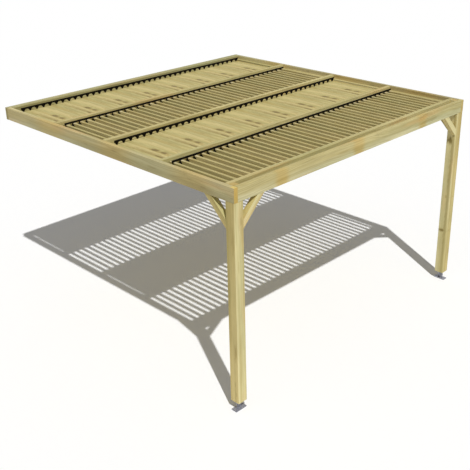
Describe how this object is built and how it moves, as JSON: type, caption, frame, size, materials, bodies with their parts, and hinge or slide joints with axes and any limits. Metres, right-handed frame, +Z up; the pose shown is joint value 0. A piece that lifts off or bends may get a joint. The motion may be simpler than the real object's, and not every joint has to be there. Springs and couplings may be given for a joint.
{
  "type": "lean-to louvred pergola",
  "caption": "Wall-mounted timber pergola on two front posts with knee braces and steel feet, roofed by bays of turning wooden louvres, closed and open by turns.",
  "frame": {"origin": "centre of the wall beam's back face", "axes": "+X along the wall to the right as seen from the garden, +Y into the wall, +Z up"},
  "size_m": [3.715, 3.715, 2.3],
  "materials": {
    "frame_timber": "planed, pressure-treated softwood",
    "louvre_timber": "planed, pressure-treated softwood",
    "black_plastic": "matt black",
    "galvanised_steel": "hot-dip galvanised"
  },
  "bodies": {
    "root": {"wall_beam": "frame_timber", "wall_rail": "frame_timber", "front_beam": "frame_timber", "front_rail": "frame_timber", "cross_beam_1": "frame_timber", "cross_beam_2": "frame_timber", "cross_beam_3": "frame_timber", "left_side_beam": "frame_timber", "right_side_beam": "frame_timber", "left_side_rails": "frame_timber", "right_side_rails": "frame_timber", "left_post": "frame_timber", "right_post": "frame_timber", "left_front_brace": "frame_timber", "right_front_brace": "frame_timber", "left_side_brace": "frame_timber", "right_side_brace": "frame_timber", "bay_1_louvres": "louvre_timber", "bay_1_pivots": "black_plastic", "bay_1_levers": "black_plastic", "bay_1_control_bar": "black_plastic", "bay_2_louvres": "louvre_timber", "bay_2_pivots": "black_plastic", "bay_2_levers": "black_plastic", "bay_2_control_bar": "black_plastic", "bay_3_louvres": "louvre_timber", "bay_3_pivots": "black_plastic", "bay_3_levers": "black_plastic", "bay_3_control_bar": "black_plastic", "bay_4_louvres": "louvre_timber", "bay_4_pivots": "black_plastic", "bay_4_levers": "black_plastic", "bay_4_control_bar": "black_plastic", "left_foot": "galvanised_steel", "right_foot": "galvanised_steel"}
  },
  "joints": []
}
